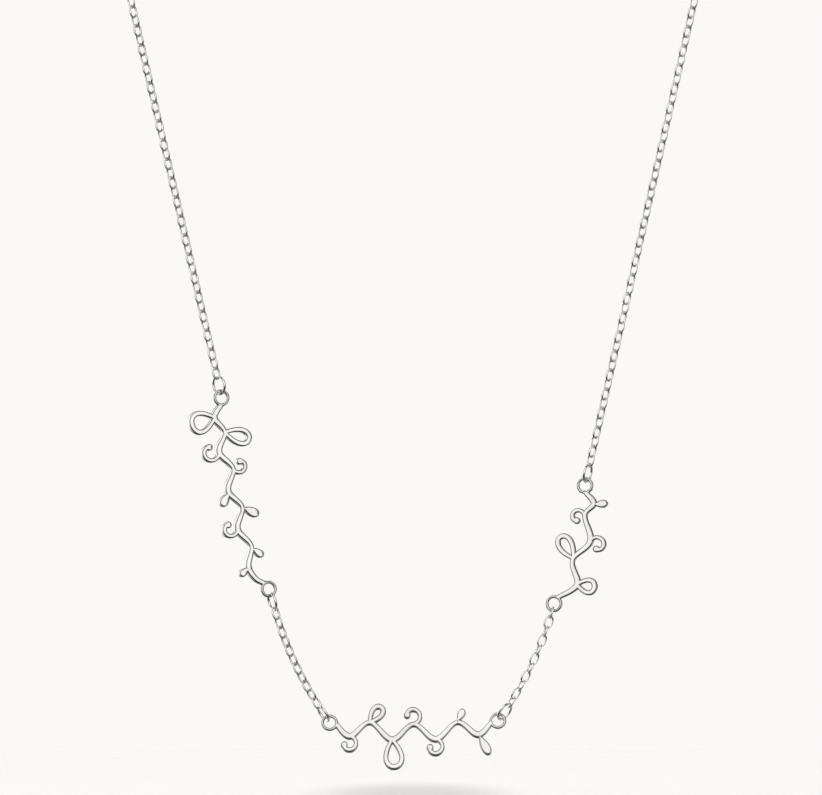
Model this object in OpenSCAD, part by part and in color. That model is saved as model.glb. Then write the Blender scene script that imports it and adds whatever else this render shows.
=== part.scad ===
// Necklace of three cut-out flourish plates joined by a fine oval-link chain, in the form it
// takes when worn. Origin: the back of the neck, where the clasp rests on it. The front faces
// -Y and up is +Z.

/* [Chain] */
// Distance from one link to the next, along the chain
link_pitch = 1.5; // [1.4:0.02:1.8]
// Width of a link over its wire
link_w = 1.56; // [1.5:0.02:1.9]
// Diameter of the wire of a link
link_wire = 0.33; // [0.25:0.01:0.36]
// Links in each of the two short chains beside the centre plate
lower_links = 11; // [5:2:17]

/* [Plates] */
// Thickness of the sheet that the plates are cut from
plate_t = 1.0; // [0.6:0.05:1.4]
// Full width of a flourish stroke
stroke_w = 0.92; // [0.6:0.02:1.1]
// Left plate, from the centre of one end ring to the other
left_span = 30; // [26:0.5:36]
// Left plate, reach that its flourish is drawn to
left_reach = 4.4; // [3.8:0.1:5.4]
// Centre plate, from the centre of one end ring to the other
centre_span = 25.6; // [22:0.2:32]
// Centre plate, reach that its flourish is drawn to
centre_reach = 6.4; // [5.6:0.1:7.6]
// Right plate, from the centre of one end ring to the other
right_span = 18.6; // [17:0.2:24]
// Right plate, reach that its flourish is drawn to
right_reach = 4.4; // [3.8:0.1:5.4]
// Outer diameter of the ring at each end of a plate
eye_od = 2.6; // [2.5:0.05:3]
// Hole of the ring at each end of a plate
eye_hole = 1.7; // [1.6:0.05:1.9]
// Thickness of the ring at each end of a plate
eye_t = 0.55; // [0.3:0.05:0.6]

/* [Jump rings] */
// Outer diameter of a jump ring
jump_od = 3.2; // [2.9:0.05:3.5]
// Diameter of the wire of a jump ring
jump_wire = 0.42; // [0.3:0.01:0.44]
// Width of the cut in a jump ring
jump_cut = 0.1; // [0.04:0.01:0.2]

/* [Clasp] */
// Length of the clasp barrel
clasp_l = 6.4; // [5:0.2:10]
// Diameter of the clasp barrel
clasp_d = 2.4; // [2:0.1:3.6]
// Radius of the rounding at the ends of the clasp barrel
clasp_round = 0.6; // [0.3:0.05:0.9]
// Outer diameter of the eye at each end of the clasp
clasp_eye_od = 2.3; // [2.2:0.05:3]
// Diameter of the wire of the clasp eyes
clasp_eye_wire = 0.45; // [0.35:0.01:0.46]

/* [Form when worn] */
// Depth of the neck hollow, from where the clasp rests to the middle of the plates
neck_depth = 55; // [52:1:66]
// Half of the width where the chain leaves the chest
chest_half_w = 42.9; // [40:0.5:46]
// Height of the clasp above the place where the chain leaves the chest
nape_rise = 33; // [30:1:38]
// Height of the clasp above the end rings of the centre plate
front_drop = 142.85; // [138:0.05:150]

/* [Hidden] */

// Clear space between the links of a chain, and where another piece hangs in a ring
clear = 0.12;
hang = 0.06;
// Facets of a round wire, of a bent wire's path and of a plate's end rings
wire_sides = 16;
bend_sides = 32;
eye_sides = 64;

// Middle radii of the bent wires, and half of a link's straight stretch
link_r = (link_w - link_wire) / 2;
link_half = (link_pitch + link_wire + clear) / 2 - link_r;
jump_r = (jump_od - jump_wire) / 2;
clasp_eye_r = (clasp_eye_od - clasp_eye_wire) / 2;

// How the pieces hang, as angles seen from the front, clockwise from straight up: the plates
// from one end ring to the other, the jump rings from their plate, the chain by the centre
// plate and by the side plate
left_along = 166.1;
centre_along = 89.3;
right_along = 14.7;
centre_shift = 0.2;
left_top_at = -10.5;
left_low_at = 164;
centre_left_at = -34.5;
centre_right_at = 37;
right_top_at = 11.6;
left_low_way = [-32.1, -16.9];
right_low_way = [32.5, 16.3];

// How far pieces are turned out of the front plane: jump rings and links about their own
// length with + where the right side comes forward, plates about the line through their end
// rings with + where the lower edge comes forward
left_top_turn = 51;
left_low_turn = -68;
centre_left_turn = 72;
centre_right_turn = -60;
right_top_turn = -66;
left_link_turns = [-45, 45];
right_link_turns = [45, -45];
right_low_turns = [60, -42];
right_low_twist = 20;
left_turn = 23;
centre_turn = 20;
right_turn = 14;

// Place of the cut in a jump ring, from the ring's top
jump_cut_at = -55;

// Chosen points of the chain's way round the neck on the right side, from the chest to the
// clasp, as percent of the chest's half width, of the neck's depth and of the nape's rise
nape_route = [
    [105, -99, -65], [107, -84, -34], [103, -62, -13], [88, -38, -2], [66, -18, 1], [38, -4, 1]
];
route_steps = 12;

// A flourish's stem: knots as percent of the span, of the reach and of the stroke's width
left_stem = [
    [3.4, -6, 85], [9, -42, 105], [17.5, -18, 80], [26.5, -56, 105], [36.5, -20, 80],
    [46.5, -58, 105], [56.5, -22, 80], [66.5, -58, 105], [76.5, -24, 80], [86, -52, 105],
    [93, -38, 90], [96.8, -8, 85]
];
centre_stem = [
    [4, -4, 85], [12, -34, 105], [24, 0, 80], [37, -44, 105], [50, -6, 80], [63, -44, 105],
    [76, -2, 80], [88, -34, 105], [96, -4, 85]
];
right_stem = [
    [6, -8, 85], [20, -62, 105], [38, -24, 80], [57, -68, 105], [76, -26, 80],
    [87.5, -46, 100], [94.5, -8, 85]
];
// Open leaves and buds: place along the stem in knots, lean from the stem's direction,
// length and width as percent of the reach
left_leaves = [[1, -78, 88, 66], [2, 70, 92, 48]];
left_buds = [[5.1, -58, 56, 32], [6, 54, 66, 34], [8.1, 52, 52, 28], [9.1, -60, 44, 26]];
centre_leaves = [[3, -82, 68, 38], [2, 60, 46, 25]];
centre_buds = [[7.05, -72, 56, 22], [6, 60, 36, 19]];
right_leaves = [[2.1, 64, 88, 46], [1, -78, 62, 44]];
right_buds = [[4.9, -60, 50, 28]];
// Curls: place along the stem in knots, lean from the stem's direction, radius as percent of
// the reach, and the angle wound, with + to the left
left_curls = [[3, -12, 33, -265], [4, 16, 27, 245], [7, -12, 29, -255]];
centre_curls = [[1, -14, 20, -255], [4, 12, 22, 250], [5, -12, 21, -260]];
right_curls = [[3, -12, 29, -260], [4, 14, 26, 250]];

// Facets along one knot of a stem, and of the round end of a stroke, whose width is a little
// less than the stroke's, so that the two outlines cross squarely
stem_steps = 8;
cap_sides = 24;
cap_share = 0.95;

// Vectors
function unit(v) = v / norm(v);
// Direction in the front plane at an angle from straight up
function up_at(a) = [sin(a), 0, cos(a)];
// Matrix that puts x and y of a piece along two directions, and its origin at a place
function frame(at, x, y) =
    let (z = cross(x, y)) concat([for (i = [0:2]) [x[i], y[i], z[i], at[i]]], [[0, 0, 0, 1]]);
// Cross direction of a ring that hangs at an angle and is turned about that direction
function ring_side(at, turn) = cos(turn) * up_at(at + 90) - [0, sin(turn), 0];
// Direction that a plate's face looks in
function face_of(along, turn) =
    [-cos(along) * sin(turn), -cos(turn), sin(along) * sin(turn)];

// Smooth curve through knots, with a place counted in knots
function knot(k, i) = k[max(0, min(len(k) - 1, i))];
function bend4(a, b, c, d, t) =
    (2 * b + (c - a) * t + (2 * a - 5 * b + 4 * c - d) * t * t
        + (3 * b - a - 3 * c + d) * t * t * t) / 2;
function curve(k, s) =
    let (i = min(floor(s), len(k) - 2))
    bend4(knot(k, i - 1), knot(k, i), knot(k, i + 1), knot(k, i + 2), s - i);
function heading(k, s) =
    let (a = curve(k, max(s - 0.02, 0)), b = curve(k, min(s + 0.02, len(k) - 1)))
    atan2(b[1] - a[1], b[0] - a[0]);

// Distance from a point to the flat band of an end ring round the origin, whose middle plane
// has the given face. The band holds its inner radius, outer radius and half thickness, and
// a wire ring is a band without width or thickness.
function gap_to(p, face, band) =
    let (h = p * face, rho = norm(p - h * face))
    norm([max(band[0] - rho, rho - band[1], 0), max(abs(h) - band[2], 0)]);
// How far a path may be drawn out before it comes nearer to the band than it may, by halving
function seat(path, way, face, band, room, low, high, left = 16) =
    left == 0 ? low :
    let (mid = (low + high) / 2, gap = min([for (p = path) gap_to(p + mid * way, face, band)]))
    gap >= room
        ? seat(path, way, face, band, room, mid, high, left - 1)
        : seat(path, way, face, band, room, low, mid, left - 1);
// Middle line of the near half of a ring or link, seen from its own centre
function near_half(way, side, r, half) = concat(
    [for (a = [0:6:180]) r * cos(a) * side - (half + r * sin(a)) * way],
    [for (s = [-1, 1], k = [0, 0.5]) s * r * side - half * k * way]
);
eye_band = [eye_hole / 2, eye_od / 2, eye_t / 2];
jump_band = [jump_r, jump_r, 0];
clasp_band = [clasp_eye_r, clasp_eye_r, 0];
// From the centre of an end ring to the centre of the jump ring that hangs in it
function jump_seat(at, turn, face) =
    seat(near_half(up_at(at), ring_side(at, turn), jump_r, 0), up_at(at), face, eye_band,
        jump_wire / 2 + hang, jump_r, jump_r + eye_hole / 2);
// From the centre of an end ring or wire ring to the centre of the link that hangs in it
function link_seat(way, side, face, band, wire = 0) =
    seat(near_half(way, side, link_r, link_half), way, face, band,
        (link_wire + wire) / 2 + hang, link_half + link_r, link_half + link_r + band[0]);

// Width direction of a link that runs along a direction, turned by an angle from facing out
function link_side(way, turn, out = [0, -1, 0]) = cos(turn) * cross(way, out) + sin(turn) * out;
// Directions that a chain faces out in, one for each link, carried along it without a twist
function squared(out, meets, i) =
    i > len(meets) - 2 ? out :
    let (way = unit(meets[i + 1] - meets[i])) unit(out - (out * way) * way);
function outs(meets) =
    [for (i = 0, out = [0, -1, 0]; i < len(meets) - 1; out = squared(out, meets, i + 1), i = i + 1)
        out];

// A jump ring: its centre, the direction that it hangs in, its cross direction, and its face
function jump_at(eye, at, turn, face) =
    let (side = ring_side(at, turn))
    [eye + jump_seat(at, turn, face) * up_at(at), up_at(at), side, cross(up_at(at), side)];

// Short chain that rises from a jump ring: the places where its links meet, from below the
// first link to above the last one
function low_angle(ways, i) = ways[0] + (ways[1] - ways[0]) * i / (lower_links - 1);
function low_meets(ring, ways, turn) =
    let (
        way = up_at(ways[0]),
        reach = link_seat(way, link_side(way, turn), ring[3], jump_band, jump_wire)
    )
    [for (i = 0, p = ring[0] + (reach - link_pitch / 2) * way; i <= lower_links;
        p = p + link_pitch * up_at(low_angle(ways, i)), i = i + 1) p];
// Centre of the last link of a short chain
function low_end(meets) = (meets[lower_links - 1] + meets[lower_links]) / 2;

// Long chain from a jump ring over the chest and round the neck: its middle line, the length
// along it, and the places where its links meet
function neck_line(ring, hand) =
    let (
        size = [hand * chest_half_w, neck_depth, nape_rise],
        chest = [hand * chest_half_w, -neck_depth, -nape_rise],
        route = [for (q = nape_route) [for (i = [0:2]) q[i] * size[i] / 100]],
        last = route[len(route) - 1],
        lead = chest + norm(route[0] - chest) * unit(ring - chest),
        stops = concat([lead, chest], route, [clasp_eye(hand), [-last[0], last[1], last[2]]])
    )
    concat(
        [ring],
        [for (i = [1:len(stops) - 3], n = [0:route_steps - 1])
            bend4(stops[i - 1], stops[i], stops[i + 1], stops[i + 2], n / route_steps)],
        [clasp_eye(hand)]
    );
function lengths(line) =
    [for (i = 0, s = 0; i < len(line); s = s + norm(knot(line, i + 1) - line[i]), i = i + 1) s];
function neck_meets(ring, hand, turn) =
    let (
        line = neck_line(ring[0], hand),
        run = lengths(line),
        way = unit(line[1] - line[0]),
        first = link_seat(way, link_side(way, turn), ring[3], jump_band, jump_wire),
        rest = run[len(run) - 1] - first - clasp_seat,
        gaps = ceil(rest / link_pitch),
        pitch = rest / gaps
    )
    [for (n = [0:gaps + 1])
        [for (i = [0:2])
            lookup(first + (n - 0.5) * pitch, [for (m = [0:len(run) - 1]) [run[m], line[m][i]]])]];

// Clasp eyes stand square to the last links, on the middle line of the barrel, and sink into
// its ends
clasp_axis_y = clasp_d / 2;
clasp_eye_x = clasp_l / 2 + clasp_eye_r - clasp_eye_wire / 4;
function clasp_eye(hand) = [hand * clasp_eye_x, clasp_axis_y, 0];
clasp_seat = link_seat([1, 0, 0], [0, 0, 1], [0, 0, 1], clasp_band, clasp_eye_wire);

// Everything in the front plane, worked out from the centre plate outwards
centre_eyes = [for (s = [-1, 1])
    [centre_shift, -neck_depth, -front_drop] + s * centre_span / 2 * up_at(centre_along)];
centre_face = face_of(centre_along, centre_turn);
left_face = face_of(left_along, left_turn);
right_face = face_of(right_along, right_turn);

centre_left = jump_at(centre_eyes[0], centre_left_at, centre_left_turn, centre_face);
left_low_meets = low_meets(centre_left, left_low_way, left_link_turns[0]);
left_low_up = up_at(left_low_way[1]);
left_low_side = link_side(left_low_up, left_link_turns[(lower_links - 1) % 2]);
left_low_face = cross(up_at(left_low_at), ring_side(left_low_at, left_low_turn));
left_low_centre = low_end(left_low_meets)
    + link_seat(-left_low_up, left_low_side, left_low_face, jump_band, jump_wire) * left_low_up;
left_eyes = let (low = left_low_centre
        - jump_seat(left_low_at, left_low_turn, left_face) * up_at(left_low_at))
    [low - left_span * up_at(left_along), low];
left_low = jump_at(left_eyes[1], left_low_at, left_low_turn, left_face);
left_top = jump_at(left_eyes[0], left_top_at, left_top_turn, left_face);
left_meets = neck_meets(left_top, -1, left_link_turns[0]);

centre_right = jump_at(centre_eyes[1], centre_right_at, centre_right_turn, centre_face);
right_low_meets = low_meets(centre_right, right_low_way, right_low_turns[0]);
right_low_up = up_at(right_low_way[1]);
right_low_side =
    link_side(right_low_up, right_low_turns[(lower_links - 1) % 2] + right_low_twist);
right_eyes = let (low = low_end(right_low_meets)
        + link_seat(-right_low_up, right_low_side, right_face, eye_band) * right_low_up)
    [low, low + right_span * up_at(right_along)];
right_top = jump_at(right_eyes[1], right_top_at, right_top_turn, right_face);
right_meets = neck_meets(right_top, 1, right_link_turns[0]);

// Stroke of changing width along a row of points and widths, in pieces that share their ends
module ribbon(p) {
    n = len(p) - 1;
    h = [for (i = [0:n])
        let (a = p[max(i - 1, 0)], b = p[min(i + 1, n)]) atan2(b[1] - a[1], b[0] - a[0])];
    function edge(i, s) =
        [p[i][0] - s * p[i][2] / 2 * sin(h[i]), p[i][1] + s * p[i][2] / 2 * cos(h[i])];
    for (i = [0:stem_steps:n - 1])
        let (m = min(i + stem_steps, n))
            polygon(concat([for (j = [i:m]) edge(j, 1)], [for (j = [m:-1:i]) edge(j, -1)]));
    for (i = [0, n])
        translate([p[i][0], p[i][1]]) circle(d = cap_share * p[i][2], $fn = cap_sides);
}

// Drop-shaped line from a foot along a heading
function drop(foot, head, l, w, a) =
    let (x = l * (1 - cos(a)) / 2, y = 0.65 * w * sin(a) * sin(a / 2))
    [foot[0] + x * cos(head) - y * sin(head), foot[1] + x * sin(head) + y * cos(head)];

module leaf(foot, head, l, w)
    ribbon([for (a = [20:10:340])
        concat(drop(foot, head, l, w, a), [stroke_w * (0.66 + 0.26 * sin(a / 2))])]);

module bud(foot, head, l, w)
    polygon([for (a = [0:15:345]) drop(foot, head, l, w, a)]);

// Curl that winds in from its foot and ends in a small ball
module curl(foot, head, r, turn) {
    side = sign(turn);
    p = [for (a = [0:10:abs(turn)])
        let (
            k = a / abs(turn),
            q = r * (1 - 0.5 * pow(k, 1.3)),
            b = head - side * 90 + side * a
        )
        [foot[0] - side * r * sin(head) + q * cos(b), foot[1] + side * r * cos(head) + q * sin(b),
            stroke_w * (0.7 + 0.12 * k)]];
    end = p[len(p) - 1];
    ribbon(p);
    translate([end[0], end[1]]) circle(d = 1.15 * stroke_w, $fn = cap_sides);
}

module flourish(span, reach, knots, leaves, buds, curls) {
    stem = [for (q = knots) [q[0] * span, q[1] * reach, q[2] * stroke_w] / 100];
    ribbon([for (s = [0:1 / stem_steps:len(stem) - 1.001]) curve(stem, s)]);
    for (q = leaves)
        leaf(curve(stem, q[0]), heading(stem, q[0]) + q[1], q[2] * reach / 100, q[3] * reach / 100);
    for (q = buds)
        bud(curve(stem, q[0]), heading(stem, q[0]) + q[1], q[2] * reach / 100, q[3] * reach / 100);
    for (q = curls)
        curl(curve(stem, q[0]), heading(stem, q[0]) + q[1], q[2] * reach / 100, q[3]);
}

// A plate lies in its own flat frame, with the first end ring at the origin and the second
// along x. The thin end rings are flush with its face.
module plate(span, reach, knots, leaves, buds, curls) {
    difference() {
        union() {
            translate([0, 0, eye_t / 2 - plate_t]) linear_extrude(plate_t)
                flourish(span, reach, knots, leaves, buds, curls);
            for (x = [0, span])
                translate([x, 0, -eye_t / 2]) cylinder(d = eye_od, h = eye_t, $fn = eye_sides);
        }
        for (x = [0, span])
            translate([x, 0, -plate_t]) cylinder(d = eye_hole, h = 2 * plate_t, $fn = eye_sides);
    }
}

// Hangs a plate by its first end ring
module hung(eye, along, turn)
    translate(eye) rotate([90, 0, 0]) rotate([0, 0, 90 - along]) rotate([-turn, 0, 0])
        children();

module jump_ring(ring) {
    cut = jump_cut / jump_r * 180 / PI;
    color("silver") multmatrix(frame(ring[0], ring[1], ring[2]))
        rotate_extrude(angle = 360 - cut, start = jump_cut_at + cut / 2, $fn = bend_sides)
            translate([jump_r, 0]) circle(d = jump_wire, $fn = wire_sides);
}

module link() {
    for (s = [0, 180])
        rotate([0, 0, s]) {
            translate([link_half, 0, 0])
                rotate_extrude(angle = 180, start = -90, $fn = bend_sides)
                    translate([link_r, 0]) circle(d = link_wire, $fn = wire_sides);
            translate([0, link_r, 0]) rotate([0, 90, 0])
                cylinder(d = link_wire, h = 2 * link_half, center = true, $fn = wire_sides);
        }
}

// Links number first to last of a chain, given by the places where its links meet
module chain(meets, first, last, turns, twist = 0) {
    out = outs(meets);
    color("silver")
        for (i = [first:last]) {
            way = unit(meets[i + 1] - meets[i]);
            turn = turns[i % 2] + twist * i / (len(meets) - 2);
            multmatrix(frame((meets[i] + meets[i + 1]) / 2, way, link_side(way, turn, out[i])))
                link();
        }
}
// Last link of the first half of a long chain
function half_of(meets) = ceil((len(meets) - 1) / 2) - 1;

module plate_left()
    color("silver") hung(left_eyes[0], left_along, left_turn)
        plate(left_span, left_reach, left_stem, left_leaves, left_buds, left_curls);
module plate_centre()
    color("silver") hung(centre_eyes[0], centre_along, centre_turn)
        plate(centre_span, centre_reach, centre_stem, centre_leaves, centre_buds, centre_curls);
module plate_right()
    color("silver") hung(right_eyes[0], right_along, right_turn)
        plate(right_span, right_reach, right_stem, right_leaves, right_buds, right_curls);

module jump_ring_left_top() jump_ring(left_top);
module jump_ring_left_low() jump_ring(left_low);
module jump_ring_centre_left() jump_ring(centre_left);
module jump_ring_centre_right() jump_ring(centre_right);
module jump_ring_right_top() jump_ring(right_top);

module chain_lower_left() chain(left_low_meets, 0, lower_links - 1, left_link_turns);
module chain_lower_right()
    chain(right_low_meets, 0, lower_links - 1, right_low_turns, right_low_twist);
module chain_upper_left() chain(left_meets, 0, half_of(left_meets), left_link_turns);
module chain_upper_right() chain(right_meets, 0, half_of(right_meets), right_link_turns);
module chain_nape_left()
    chain(left_meets, half_of(left_meets) + 1, len(left_meets) - 2, left_link_turns);
module chain_nape_right()
    chain(right_meets, half_of(right_meets) + 1, len(right_meets) - 2, right_link_turns);

module clasp() {
    color("silver") {
        translate([0, clasp_axis_y, 0]) rotate([0, 90, 0]) rotate_extrude($fn = eye_sides) {
            translate([0, -clasp_l / 2]) square([clasp_d / 2 - clasp_round, clasp_l]);
            translate([0, clasp_round - clasp_l / 2])
                square([clasp_d / 2, clasp_l - 2 * clasp_round]);
            intersection() {
                for (s = [-1, 1])
                    translate([clasp_d / 2 - clasp_round, s * (clasp_l / 2 - clasp_round)])
                        circle(r = clasp_round, $fn = wire_sides);
                translate([0, -clasp_l]) square([clasp_d, 2 * clasp_l]);
            }
        }
        for (hand = [-1, 1]) {
            meets = hand < 0 ? left_meets : right_meets;
            turns = hand < 0 ? left_link_turns : right_link_turns;
            last = len(meets) - 2;
            way = [-hand, 0, 0];
            face = unit(link_side(way, turns[last % 2], outs(meets)[last]));
            multmatrix(frame(clasp_eye(hand), way, cross(face, way)))
                rotate_extrude($fn = bend_sides)
                    translate([clasp_eye_r, 0]) circle(d = clasp_eye_wire, $fn = wire_sides);
        }
    }
}

plate_left();
plate_centre();
plate_right();
jump_ring_left_top();
jump_ring_left_low();
jump_ring_centre_left();
jump_ring_centre_right();
jump_ring_right_top();
chain_lower_left();
chain_lower_right();
chain_upper_left();
chain_upper_right();
chain_nape_left();
chain_nape_right();
clasp();
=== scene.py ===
import math

import bmesh
import bpy
import numpy as np
from mathutils import Matrix, Vector


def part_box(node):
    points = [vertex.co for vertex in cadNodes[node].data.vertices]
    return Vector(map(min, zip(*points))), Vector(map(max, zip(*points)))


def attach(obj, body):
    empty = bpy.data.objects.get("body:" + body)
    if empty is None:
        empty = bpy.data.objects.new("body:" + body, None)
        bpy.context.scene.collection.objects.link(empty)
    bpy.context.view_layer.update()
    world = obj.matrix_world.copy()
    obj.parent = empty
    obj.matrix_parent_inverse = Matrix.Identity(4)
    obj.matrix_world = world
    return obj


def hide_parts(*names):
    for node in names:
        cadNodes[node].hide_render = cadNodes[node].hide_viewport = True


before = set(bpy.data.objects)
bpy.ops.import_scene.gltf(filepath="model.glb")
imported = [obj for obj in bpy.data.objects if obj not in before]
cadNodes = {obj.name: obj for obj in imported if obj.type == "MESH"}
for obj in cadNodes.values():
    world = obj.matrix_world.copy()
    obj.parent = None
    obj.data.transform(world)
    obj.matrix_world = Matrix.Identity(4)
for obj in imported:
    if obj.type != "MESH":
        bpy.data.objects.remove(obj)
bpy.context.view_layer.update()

# Silver necklace of three flourish plates on a fine oval-link chain, hanging as it is worn.
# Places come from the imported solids. Lengths are in metres, +Z is up and -Y is the front.
mm = 0.001
scene = bpy.context.scene

photo = {
    "widthPx": 822,
    "pxPerMm": 6.57,        # at the plates
    "distance": 1.5,        # from the camera to the plates
    "platesY": -55 * mm,
    "middleX": -0.21 * mm,
    "middleZ": -93.5 * mm,
    "sensor": 36,           # width in mm
    "clip": (0.05, 20),
}


def makeCamera():       # level and straight in front, far enough back for a long lens
    data = bpy.data.cameras.new("camera")
    seenWidth = photo["widthPx"] / photo["pxPerMm"] * mm
    data.sensor_width = photo["sensor"]
    data.lens = photo["sensor"] * photo["distance"] / seenWidth
    data.clip_start, data.clip_end = photo["clip"]
    camera = bpy.data.objects.new("camera", data)
    camera.location = (photo["middleX"], photo["platesY"] - photo["distance"], photo["middleZ"])
    camera.rotation_euler = (math.radians(90), 0, 0)
    scene.collection.objects.link(camera)
    scene.camera = camera


makeCamera()
scene.view_settings.view_transform = "Standard"
print("camera ready")


class Wire:     # a socket that takes part in sums like a number
    def __init__(self, shader, socket):
        self.shader, self.socket = shader, socket

    def __add__(self, other):
        return self.shader.maths("ADD", self, other)

    def __radd__(self, other):
        return self.shader.maths("ADD", other, self)

    def __sub__(self, other):
        return self.shader.maths("SUBTRACT", self, other)

    def __rsub__(self, other):
        return self.shader.maths("SUBTRACT", other, self)

    def __mul__(self, other):
        return self.shader.maths("MULTIPLY", self, other)

    def __rmul__(self, other):
        return self.shader.maths("MULTIPLY", other, self)


class Shader:   # the node tree of a material or of the world
    def __init__(self, tree):
        self.tree = tree
        tree.nodes.clear()

    def node(self, kind, settings=None, values=None, output=0):
        made = self.tree.nodes.new(kind)
        for name, value in (settings or {}).items():
            if name == "stops":
                ramp = made.color_ramp
                while len(ramp.elements) < len(value):
                    ramp.elements.new(1)
                for stop, (place, grey) in zip(ramp.elements, value):
                    stop.position, stop.color = place, (grey, grey, grey, 1)
            else:
                setattr(made, name, value)
        for name, value in (values or {}).items():
            socket = made.inputs[name]
            if isinstance(value, Wire):
                self.tree.links.new(value.socket, socket)
            else:
                socket.default_value = value
        return Wire(self, made.outputs[output]) if len(made.outputs) else made

    def maths(self, operation, a, b):
        return self.node("ShaderNodeMath", {"operation": operation}, {0: a, 1: b})

    def noise(self, place, scale, roughness=0.5, detail=2.0):
        return self.node("ShaderNodeTexNoise", values={
            "Vector": place, "Scale": scale, "Detail": detail, "Roughness": roughness})

    def ramp(self, value, stops):       # brightness along a value, from places and greys
        made = self.node("ShaderNodeValToRGB", {"stops": stops}, {"Fac": value})
        return self.node("ShaderNodeRGBToBW", values={"Color": made})

    def fall(self, value, start, end):      # soft, from 0 at the start to 1 at the end
        return self.node("ShaderNodeMapRange", {"interpolation_type": "SMOOTHSTEP"}, {
            "Value": value, "From Min": start, "From Max": end})

    def mix(self, factor, first, second):       # from the first colour to the second
        return self.node("ShaderNodeMix", {"data_type": "RGBA"},
                         {"Factor": factor, 6: first, 7: second}, output=2)

    def away(self, place, middle, scale=(1, 1, 1)):     # distance from a middle, once scaled
        moved = self.node("ShaderNodeMapping", {"vector_type": "POINT"}, {
            "Vector": place, "Scale": scale,
            "Location": tuple(-m * s for m, s in zip(middle, scale))})
        return self.node("ShaderNodeVectorMath", {"operation": "LENGTH"}, {0: moved},
                         output="Value")

    def split(self, vector):        # its X, Y and Z
        made = self.node("ShaderNodeSeparateXYZ", values={0: vector})
        return [Wire(self, socket) for socket in made.socket.node.outputs]


# One silver for each kind of piece: its tone, the share of it left in the deep clouds, how
# metallic it is, its lowest roughness, what wear adds to that, and the strength of its hairlines
# The tones are partly painted light: the chain's is set lighter against the shade among its links,
# the plates' darker against the bright reflections in their broad faces
silver = {
    "plate": {"tone": (0.89, 0.887, 0.88), "deep": 0.86, "metal": 1.0,
              "dull": 0.04, "spread": 0.07, "grain": 0.04},
    "ring": {"tone": (0.96, 0.957, 0.95), "deep": 0.88, "metal": 0.95,
             "dull": 0.05, "spread": 0.08, "grain": 0.05},
    "chain": {"tone": (0.97, 0.968, 0.962), "deep": 0.9, "metal": 0.98,
              "dull": 0.06, "spread": 0.1, "grain": 0.06},
    "clasp": {"tone": (0.86, 0.858, 0.85), "deep": 0.9, "metal": 1.0,
              "dull": 0.07, "spread": 0.1, "grain": 0.06},
}
silverDetail = {
    "clouds": 140.0,                        # how many a metre: about 7 mm across
    "cloudStart": 0.4, "cloudContrast": 4,
    "deepTint": (1.0, 0.995, 0.98),         # the deep clouds are a little warmer
    "wear": 2600.0,                         # worn spots, about 0.4 mm across
    "wearRoughness": 0.6,
    "hairlines": (600.0, 9000.0, 9000.0),   # about 1.7 mm long and 0.1 mm wide
    "hairlineTurn": (0.4, 0.9, 0.3),
    "hairlineDepth": 0.02 * mm,
    "mainShare": 0.6, "wearShare": 0.4,     # of clouds or hairlines against fine wear
    "paintedEdgeShadeTone": (0.1, 0.1, 0.1), "paintedEdgeShadeShare": 0.45,   # painted shade: darker on the cut walls and rounded edges
}


def silverFinish(name):
    look, detail = silver[name], silverDetail
    material = bpy.data.materials.new(name + "Silver")
    material.use_nodes = True
    shader = Shader(material.node_tree)
    place = shader.node("ShaderNodeTexCoord", output="Object")
    clouds = shader.noise(place, detail["clouds"])
    wear = shader.noise(place, detail["wear"], detail["wearRoughness"])
    drawn = shader.node("ShaderNodeMapping", {"vector_type": "POINT"}, {
        "Vector": place, "Rotation": detail["hairlineTurn"], "Scale": detail["hairlines"]})
    hairlines = shader.noise(drawn, 1.0)
    deepTone = [t * look["deep"] * tint for t, tint in zip(look["tone"], detail["deepTint"])]
    colour = shader.mix((clouds - detail["cloudStart"]) * detail["cloudContrast"],
                        (*look["tone"], 1), (*deepTone, 1))
    # Painted shade: the plate's cut walls and rounded edges are darkened in colour
    if name == "plate":
        cut = shader.node("ShaderNodeAttribute", {"attribute_name": "cut"}, output="Fac")
        colour = shader.mix(cut * detail["paintedEdgeShadeShare"], colour, (*detail["paintedEdgeShadeTone"], 1))
    mainShare, wearShare = detail["mainShare"], detail["wearShare"]
    roughness = look["dull"] + look["spread"] * (clouds * mainShare + wear * wearShare)
    bump = shader.node("ShaderNodeBump", values={
        "Strength": look["grain"], "Distance": detail["hairlineDepth"],
        "Height": hairlines * mainShare + wear * wearShare})
    surface = shader.node("ShaderNodeBsdfPrincipled", values={
        "Base Color": colour, "Metallic": look["metal"], "Roughness": roughness, "Normal": bump})
    shader.node("ShaderNodeOutputMaterial", values={"Surface": surface})
    return material


finishes = {name: silverFinish(name) for name in silver}
print("silver ready")


def mergedCopy(node, reach=0.003 * mm):     # the solid's mesh, its loose triangles joined
    bm = bmesh.new()
    bm.from_mesh(cadNodes[node].data)
    bmesh.ops.remove_doubles(bm, verts=bm.verts, dist=reach)
    return bm


def finishPiece(bm, name, finish, nodes, corner=180):      # edges past that angle stay sharp
    for face in bm.faces:
        face.smooth = True
    for edge in bm.edges:
        edge.smooth = len(edge.link_faces) == 2 and edge.calc_face_angle(0) < math.radians(corner)
    mesh = bpy.data.meshes.new(name)
    bm.to_mesh(mesh)
    bm.free()
    mesh.materials.append(finishes[finish])
    piece = bpy.data.objects.new(name, mesh)
    scene.collection.objects.link(piece)
    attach(piece, "root")
    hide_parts(*nodes)
    return piece


plateLook = {
    "merge": 0.012 * mm,    # points of the outline that are nearer than this become one
    "flat": 0.999,          # least cosine to the sheet's front or back for a flat face
    "edge": 0.2 * mm,       # rounding of the sheet's edges
    "edgeSteps": 3,
    "corner": 35,
    "faceWeight": 80,
}


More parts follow.
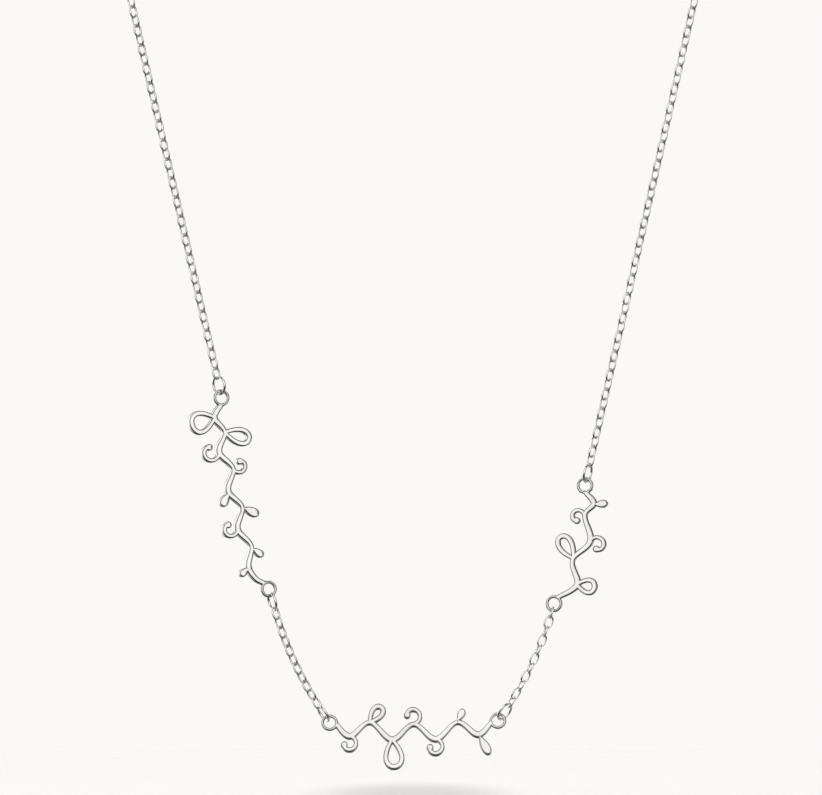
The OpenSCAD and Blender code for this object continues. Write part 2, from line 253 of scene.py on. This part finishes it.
def makePlate(node):        # the sheet's outline comes from the solids, its edges are rounded over
    bm = mergedCopy(node, plateLook["merge"])
    facing = max(bm.faces, key=lambda f: f.calc_area()).normal.copy()
    flat = {f for f in bm.faces if abs(f.normal.dot(facing)) > plateLook["flat"]}
    rim = [e for e in bm.edges if len(e.link_faces) == 2
           and (e.link_faces[0] in flat) != (e.link_faces[1] in flat)]
    bmesh.ops.bevel(bm, geom=rim, offset=plateLook["edge"], offset_type="OFFSET",
                    affect="EDGES", segments=plateLook["edgeSteps"], profile=0.5, material=-1,
                    clamp_overlap=False, loop_slide=False)
    # Painted shade: the cut walls and rounded edges are marked to be darkened in colour
    cut = bm.faces.layers.float.new("cut")
    for face in bm.faces:
        face[cut] = abs(face.normal.dot(facing)) < plateLook["flat"]
    piece = finishPiece(bm, node + "_sheet", "plate", [node], plateLook["corner"])
    shading = piece.modifiers.new("face shading", "WEIGHTED_NORMAL")
    shading.keep_sharp = True
    shading.weight = plateLook["faceWeight"]


for side in ("left", "centre", "right"):
    makePlate("plate_" + side)
print("plates ready")


ringLook = {"slack": 0.06 * mm, "corner": 50}
ringPlates = {      # the plate that each ring hangs in
    "left_top": "plate_left", "left_low": "plate_left", "centre_left": "plate_centre",
    "centre_right": "plate_centre", "right_top": "plate_right",
}


def makeRing(name, plate):
    node = "jump_ring_" + name
    bm = mergedCopy(node)
    low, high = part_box(node)
    middle = (low + high) / 2
    reach = (high - low).length / 2
    # The end ring that it hangs in is the part of the plate that is near
    near = [v.co for v in cadNodes[plate].data.vertices if (v.co - middle).length < reach]
    eye = sum(near, Vector()) / len(near)
    away = (middle - eye).normalized()
    radius = max((v.co - middle).dot(away) for v in bm.verts)
    # It is drawn in towards its far end until it bears on that end ring
    bmesh.ops.scale(bm, verts=bm.verts, vec=(1 - ringLook["slack"] / (2 * radius),) * 3,
                    space=Matrix.Translation(-(middle + away * radius)))
    finishPiece(bm, node + "_wire", "ring", [node], ringLook["corner"])


for name, plate in ringPlates.items():
    makeRing(name, plate)
print("jump rings ready")


linkLook = {
    "wire": 0.33 * mm, "width": 1.56 * mm, "length": 2.16 * mm,     # outside sizes of a link
    "wireSides": 6, "bendSteps": 5,
}
chainNodes = ["chain_lower_left", "chain_lower_right", "chain_upper_left",
              "chain_upper_right", "chain_nape_left", "chain_nape_right"]


def linkMesh():
    bend = (linkLook["width"] - linkLook["wire"]) / 2
    straight = linkLook["length"] / 2 - linkLook["wire"] / 2 - bend
    bm = bmesh.new()
    ring = bmesh.ops.create_circle(bm, segments=linkLook["wireSides"], radius=linkLook["wire"] / 2,
                                   matrix=Matrix.Translation((straight, -bend, 0))
                                   @ Matrix.Rotation(math.radians(90), 4, "Y"))["verts"]
    bmesh.ops.spin(bm, geom=ring + bm.edges[:], cent=(straight, 0, 0), axis=(0, 0, 1),
                   angle=math.pi, steps=linkLook["bendSteps"], use_merge=False)
    # The half round gets its turned twin, and the open ends are bridged
    twin = bmesh.ops.duplicate(bm, geom=bm.verts[:] + bm.edges[:] + bm.faces[:])["geom"]
    bmesh.ops.rotate(bm, verts=[v for v in twin if isinstance(v, bmesh.types.BMVert)],
                     cent=(0, 0, 0), matrix=Matrix.Rotation(math.pi, 3, "Z"))
    ends = [e for e in bm.edges if len(e.link_faces) < 2]
    for side in (-1, 1):
        pair = [e for e in ends if side * (e.verts[0].co.y + e.verts[1].co.y) > 0]
        bmesh.ops.bridge_loops(bm, edges=pair)
    bmesh.ops.recalc_face_normals(bm, faces=bm.faces)
    mesh = bpy.data.meshes.new("link")
    bm.to_mesh(mesh)
    bm.free()
    return mesh


def linkPlaces(node):       # where each link of the solids lies, as a matrix
    bm = mergedCopy(node)
    unseen, places = set(bm.verts), []
    for start in bm.verts:
        if start not in unseen:
            continue
        unseen.discard(start)
        island, front = [start], [start]
        while front:
            vert = front.pop()
            for edge in vert.link_edges:
                other = edge.other_vert(vert)
                if other in unseen:
                    unseen.discard(other)
                    island.append(other)
                    front.append(other)
        faces = dict.fromkeys(f for v in island for f in v.link_faces)
        centres = np.array([f.calc_center_median() for f in faces])
        areas = np.array([f.calc_area() for f in faces])
        middle = areas @ centres / areas.sum()
        spread = (centres - middle).T @ ((centres - middle) * areas[:, None])
        axes = np.linalg.eigh(spread)[1]            # thin, wide, long
        long, wide = Vector(axes[:, 2]), Vector(axes[:, 1])
        turn = Matrix((long, wide, long.cross(wide))).transposed().to_4x4()
        places.append(Matrix.Translation(Vector(middle)) @ turn)
    bm.free()
    return places


link = linkMesh()
for node in chainNodes:
    bm = bmesh.new()
    for place in linkPlaces(node):
        before = len(bm.verts)
        bm.from_mesh(link)
        bm.verts.ensure_lookup_table()
        bmesh.ops.transform(bm, matrix=place, verts=bm.verts[before:])
    finishPiece(bm, node + "_links", "chain", [node])
    print(node, "ready")


claspLook = {"corner": 40}
finishPiece(mergedCopy("clasp"), "clasp_barrel", "clasp", ["clasp"], claspLook["corner"])
print("clasp ready")


# What the camera sees behind the necklace, and the colour of the light from the tent
studio = {"backdrop": (0.966, 0.948, 0.931), "glow": (1, 0.995, 0.985)}

# The tent and its cards, which light the silver alone: brightness by the angle round the
# necklace, from straight in front and + to the right, times the share of it at each height,
# from -1 straight down to 1 straight up
tent = {
    "walls": {
        "around": [(-180, 0.2), (-158, 0.2), (-150, 0.8), (-120, 0.8), (-112, 0.08),
                   (-106, 0.9), (-80, 0.9), (-72, 0.08), (-50, 0.08), (-42, 1.05), (0, 1.08),
                   (50, 1.08), (58, 0.16), (78, 0.16), (84, 0.35), (100, 0.35), (106, 0.14),
                   (165, 0.14), (180, 0.2)],
        "heights": [(-1, 0.03), (-0.4, 0.03), (-0.2, 0.55), (-0.05, 1), (0.25, 1.04), (0.5, 0.98),
                    (0.74, 0.98), (0.86, 0.5), (0.96, 0.1), (1, 0.1)]},
    # Behind on the left, for the cut edges of the left plate
    "leftCard": {
        "around": [(-156, 0), (-148, 1.2), (-122, 1.2), (-114, 0)],
        "heights": [(-0.8, 0.3), (-0.3, 1)]},
    # Behind, for the backs of the plates and the clasp
    "lowRightCard": {
        "around": [(92, 0), (102, 0.45), (148, 0.45), (156, 0)],
        "heights": [(-0.8, 0), (-0.7, 1), (-0.2, 1), (-0.08, 0)]},
    "underBackCard": {
        "around": [(-180, 0.16), (-165, 0.16), (-158, 0), (100, 0), (110, 0.16), (180, 0.16)],
        "heights": [(-0.45, 1), (-0.35, 0)]},
    "highBackCard": {
        "around": [(-180, 0.9), (-125, 0.9), (-115, 0), (115, 0), (125, 0.9), (180, 0.9)],
        "heights": [(0.4, 0), (0.5, 1), (0.8, 1), (0.9, 0)]},
    "lowBackCard": {
        "around": [(-180, 0.6), (-165, 0.6), (-158, 0), (145, 0), (155, 0.6), (180, 0.6)],
        "heights": [(-0.42, 0), (-0.36, 1), (-0.16, 1), (-0.08, 0)]},
}


def makeWorld():
    world = bpy.data.worlds.new("studio")
    scene.world = world
    world.use_nodes = True
    shader = Shader(world.node_tree)
    across, depth, height = shader.split(shader.node("ShaderNodeTexCoord", output="Generated"))
    # Both run from 0 to 1: once round from the back, and from straight down to straight up
    turned = shader.maths("ARCTAN2", across, 0 - depth) * (0.5 / math.pi) + 0.5
    raised = height * 0.5 + 0.5
    light = 0
    for card in tent.values():
        around = shader.ramp(turned, [(angle / 360 + 0.5, grey) for angle, grey in card["around"]])
        share = shader.ramp(raised, [(z / 2 + 0.5, grey) for z, grey in card["heights"]])
        light = light + around * share
    glow = shader.node("ShaderNodeBackground", values={
        "Color": (*studio["glow"], 1), "Strength": light})
    seen = shader.node("ShaderNodeBackground", values={"Color": (*studio["backdrop"], 1)})
    direct = shader.node("ShaderNodeLightPath", output="Is Camera Ray")
    mixed = shader.node("ShaderNodeMixShader", values={0: direct, 1: glow, 2: seen})
    shader.node("ShaderNodeOutputWorld", values={"Surface": mixed})


# The floor, which fades out at its rim, with a soft oval of shade below the centre plate
floorLook = {
    "middle": (0, -30 * mm, -155.5 * mm),
    "reach": 0.3,
    "sides": 96,
    "fade": (0.285, 0.05),              # from its middle: nothing shows, all shows
    "tone": (0.9, 0.883, 0.869),
    "dull": 0.9,
    "shadeMiddle": (0, -20 * mm, -155.5 * mm),
    "shadeScale": (48.8, 15, 50),       # 1 is the oval's rim
    "shadeEdge": (1.0, 0.25),           # where it starts and where it is full
    "shadeTone": (0.666, 0.653, 0.643),
}


def makeFloor():
    bm = bmesh.new()
    bmesh.ops.create_circle(bm, cap_ends=True, segments=floorLook["sides"],
                            radius=floorLook["reach"],
                            matrix=Matrix.Translation(floorLook["middle"]))
    mesh = bpy.data.meshes.new("floor")
    bm.to_mesh(mesh)
    bm.free()
    floor = bpy.data.objects.new("floor", mesh)
    scene.collection.objects.link(floor)
    floor.visible_glossy = False
    material = bpy.data.materials.new("paleFloor")
    material.use_nodes = True
    shader = Shader(material.node_tree)
    place = shader.node("ShaderNodeTexCoord", output="Object")
    fade = shader.fall(shader.away(place, floorLook["middle"]), *floorLook["fade"])
    under = shader.away(place, floorLook["shadeMiddle"], floorLook["shadeScale"])
    shade = shader.fall(under, *floorLook["shadeEdge"])
    colour = shader.mix(shade, (*floorLook["tone"], 1), (*floorLook["shadeTone"], 1))
    surface = shader.node("ShaderNodeBsdfPrincipled", values={
        "Base Color": colour, "Roughness": floorLook["dull"], "Alpha": fade})
    shader.node("ShaderNodeOutputMaterial", values={"Surface": surface})
    mesh.materials.append(material)


# It lights the floor, and isn't mirrored in the silver
softbox = {"width": 0.9, "depth": 0.7, "watts": 5.25,
           "place": (0, -0.05, 0.85), "aim": (0, 0.12, -0.155)}


def makeSoftbox():
    data = bpy.data.lights.new("softbox", "AREA")
    data.shape, data.size, data.size_y = "RECTANGLE", softbox["width"], softbox["depth"]
    data.energy = softbox["watts"]
    lamp = bpy.data.objects.new("softbox", data)
    lamp.visible_glossy = False
    lamp.location = softbox["place"]
    way = Vector(softbox["aim"]) - Vector(softbox["place"])
    lamp.rotation_euler = way.to_track_quat("-Z", "Y").to_euler()
    scene.collection.objects.link(lamp)


makeWorld()
makeFloor()
makeSoftbox()
print("studio ready")
